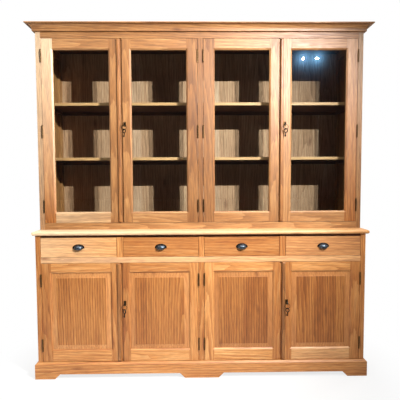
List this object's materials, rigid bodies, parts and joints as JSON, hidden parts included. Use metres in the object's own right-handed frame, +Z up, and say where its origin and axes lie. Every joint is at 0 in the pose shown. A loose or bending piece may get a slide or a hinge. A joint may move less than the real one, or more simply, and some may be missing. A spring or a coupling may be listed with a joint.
{
  "type": "china cabinet",
  "caption": "Wide wooden china cabinet: a glazed hutch with shelves behind locking doors, on a base with a row of drawers over panelled doors and a bracket-foot plinth.",
  "frame": {"origin": "centre of the outline on the floor, under the feet", "axes": "+X to the right seen from the front, +Y to the back, +Z up"},
  "size_m": [2.096, 0.5174, 2.1535],
  "materials": {
    "teak": "satin wax on open grain",
    "panel_wood": "satin wax on figured grain",
    "inside_wood": "matt, unwaxed",
    "glass": "clear polished",
    "brass": "aged satin",
    "steel": "worn nickel",
    "dark_metal": "dark burnished"
  },
  "bodies": {
    "carcass": {"plinth": "teak", "base_sides": "teak", "base_floor": "inside_wood", "base_back": "inside_wood", "base_face_frame": "teak", "base_partition": "inside_wood", "runners_and_cleats": "inside_wood", "shelves": "inside_wood", "counter_top": "teak", "hutch_sides": "teak", "hutch_floor": "inside_wood", "hutch_roof": "inside_wood", "hutch_back": "inside_wood", "hutch_face_frame": "teak", "cornice": "teak", "frame_fittings": "brass"},
    "upper_door_1": {"upper_door_1_frame": "teak", "upper_door_1_glass": "glass", "upper_door_1_fittings": "brass"},
    "upper_door_2": {"upper_door_2_frame": "teak", "upper_door_2_glass": "glass", "upper_door_2_fittings": "brass"},
    "upper_door_3": {"upper_door_3_frame": "teak", "upper_door_3_glass": "glass", "upper_door_3_fittings": "brass"},
    "upper_door_4": {"upper_door_4_frame": "teak", "upper_door_4_glass": "glass", "upper_door_4_fittings": "brass"},
    "upper_2_key": {"upper_2_key": "steel"},
    "upper_2_bolt": {"upper_2_bolt": "steel"},
    "upper_2_spare_key": {"upper_2_spare_key": "steel"},
    "upper_4_key": {"upper_4_key": "steel"},
    "upper_4_bolt": {"upper_4_bolt": "steel"},
    "upper_4_spare_key": {"upper_4_spare_key": "steel"},
    "lower_door_1": {"lower_door_1_frame": "teak", "lower_door_1_panel": "panel_wood", "lower_door_1_fittings": "brass"},
    "lower_door_2": {"lower_door_2_frame": "teak", "lower_door_2_panel": "panel_wood", "lower_door_2_fittings": "brass"},
    "lower_door_3": {"lower_door_3_frame": "teak", "lower_door_3_panel": "panel_wood", "lower_door_3_fittings": "brass"},
    "lower_door_4": {"lower_door_4_frame": "teak", "lower_door_4_panel": "panel_wood", "lower_door_4_fittings": "brass"},
    "lower_2_key": {"lower_2_key": "steel"},
    "lower_2_bolt": {"lower_2_bolt": "steel"},
    "lower_2_spare_key": {"lower_2_spare_key": "steel"},
    "lower_4_key": {"lower_4_key": "steel"},
    "lower_4_bolt": {"lower_4_bolt": "steel"},
    "lower_4_spare_key": {"lower_4_spare_key": "steel"},
    "drawer_1": {"drawer_1_box": "teak", "drawer_1_pull": "dark_metal"},
    "drawer_2": {"drawer_2_box": "teak", "drawer_2_pull": "dark_metal"},
    "drawer_3": {"drawer_3_box": "teak", "drawer_3_pull": "dark_metal"},
    "drawer_4": {"drawer_4_box": "teak", "drawer_4_pull": "dark_metal"}
  },
  "joints": [
    {"name": "upper_door_1_hinge", "type": "hinge", "parent": "carcass", "child": "upper_door_1", "pos_m": [-0.969, -0.14155, 0.947], "axis": [0, 0, -1], "range_deg": [0, 120]},
    {"name": "upper_door_2_hinge", "type": "hinge", "parent": "carcass", "child": "upper_door_2", "pos_m": [-0.017, -0.14155, 0.947], "axis": [0, 0, 1], "range_deg": [0, 90]},
    {"name": "upper_door_3_hinge", "type": "hinge", "parent": "carcass", "child": "upper_door_3", "pos_m": [0.017, -0.14155, 0.947], "axis": [0, 0, -1], "range_deg": [0, 90]},
    {"name": "upper_door_4_hinge", "type": "hinge", "parent": "carcass", "child": "upper_door_4", "pos_m": [0.969, -0.14155, 0.947], "axis": [0, 0, 1], "range_deg": [0, 120]},
    {"name": "upper_2_key_turn", "type": "hinge", "parent": "upper_door_2", "child": "upper_2_key", "pos_m": [-0.466, -0.13725, 1.553], "axis": [0, 1, 0], "range_deg": [0, 90]},
    {"name": "upper_2_bolt_throw", "type": "slide", "parent": "upper_door_2", "child": "upper_2_bolt", "axis": [-1, 0, 0], "range_m": [0, 0.01]},
    {"name": "upper_2_spare_hang", "type": "hinge", "parent": "upper_2_key", "child": "upper_2_spare_key", "pos_m": [-0.466, -0.16425, 1.544], "axis": [0, 1, 0], "range_deg": [-90, 0]},
    {"name": "upper_4_key_turn", "type": "hinge", "parent": "upper_door_4", "child": "upper_4_key", "pos_m": [0.52, -0.13725, 1.553], "axis": [0, 1, 0], "range_deg": [0, 90]},
    {"name": "upper_4_bolt_throw", "type": "slide", "parent": "upper_door_4", "child": "upper_4_bolt", "axis": [-1, 0, 0], "range_m": [0, 0.01]},
    {"name": "upper_4_spare_hang", "type": "hinge", "parent": "upper_4_key", "child": "upper_4_spare_key", "pos_m": [0.52, -0.16425, 1.544], "axis": [0, 1, 0], "range_deg": [-90, 0]},
    {"name": "lower_door_1_hinge", "type": "hinge", "parent": "carcass", "child": "lower_door_1", "pos_m": [-0.969, -0.22555, 0.102], "axis": [0, 0, -1], "range_deg": [0, 120]},
    {"name": "lower_door_2_hinge", "type": "hinge", "parent": "carcass", "child": "lower_door_2", "pos_m": [-0.017, -0.22555, 0.102], "axis": [0, 0, 1], "range_deg": [0, 90]},
    {"name": "lower_door_3_hinge", "type": "hinge", "parent": "carcass", "child": "lower_door_3", "pos_m": [0.017, -0.22555, 0.102], "axis": [0, 0, -1], "range_deg": [0, 90]},
    {"name": "lower_door_4_hinge", "type": "hinge", "parent": "carcass", "child": "lower_door_4", "pos_m": [0.969, -0.22555, 0.102], "axis": [0, 0, 1], "range_deg": [0, 120]},
    {"name": "lower_2_key_turn", "type": "hinge", "parent": "lower_door_2", "child": "lower_2_key", "pos_m": [-0.466, -0.22125, 0.464], "axis": [0, 1, 0], "range_deg": [0, 90]},
    {"name": "lower_2_bolt_throw", "type": "slide", "parent": "lower_door_2", "child": "lower_2_bolt", "axis": [-1, 0, 0], "range_m": [0, 0.01]},
    {"name": "lower_2_spare_hang", "type": "hinge", "parent": "lower_2_key", "child": "lower_2_spare_key", "pos_m": [-0.466, -0.24825, 0.455], "axis": [0, 1, 0], "range_deg": [-90, 0]},
    {"name": "lower_4_key_turn", "type": "hinge", "parent": "lower_door_4", "child": "lower_4_key", "pos_m": [0.52, -0.22125, 0.464], "axis": [0, 1, 0], "range_deg": [0, 90]},
    {"name": "lower_4_bolt_throw", "type": "slide", "parent": "lower_door_4", "child": "lower_4_bolt", "axis": [-1, 0, 0], "range_m": [0, 0.01]},
    {"name": "lower_4_spare_hang", "type": "hinge", "parent": "lower_4_key", "child": "lower_4_spare_key", "pos_m": [0.52, -0.24825, 0.455], "axis": [0, 1, 0], "range_deg": [-90, 0]},
    {"name": "drawer_1_slide", "type": "slide", "parent": "carcass", "child": "drawer_1", "axis": [0, -1, 0], "range_m": [0, 0.3]},
    {"name": "drawer_2_slide", "type": "slide", "parent": "carcass", "child": "drawer_2", "axis": [0, -1, 0], "range_m": [0, 0.3]},
    {"name": "drawer_3_slide", "type": "slide", "parent": "carcass", "child": "drawer_3", "axis": [0, -1, 0], "range_m": [0, 0.3]},
    {"name": "drawer_4_slide", "type": "slide", "parent": "carcass", "child": "drawer_4", "axis": [0, -1, 0], "range_m": [0, 0.3]}
  ],
  "couplings": [
    {"joint": "upper_2_bolt_throw", "follows": "upper_2_key_turn", "m_per_rad": 0.006366},
    {"joint": "upper_2_spare_hang", "follows": "upper_2_key_turn", "ratio": -1},
    {"joint": "upper_4_bolt_throw", "follows": "upper_4_key_turn", "m_per_rad": 0.006366},
    {"joint": "upper_4_spare_hang", "follows": "upper_4_key_turn", "ratio": -1},
    {"joint": "lower_2_bolt_throw", "follows": "lower_2_key_turn", "m_per_rad": 0.006366},
    {"joint": "lower_2_spare_hang", "follows": "lower_2_key_turn", "ratio": -1},
    {"joint": "lower_4_bolt_throw", "follows": "lower_4_key_turn", "m_per_rad": 0.006366},
    {"joint": "lower_4_spare_hang", "follows": "lower_4_key_turn", "ratio": -1}
  ]
}
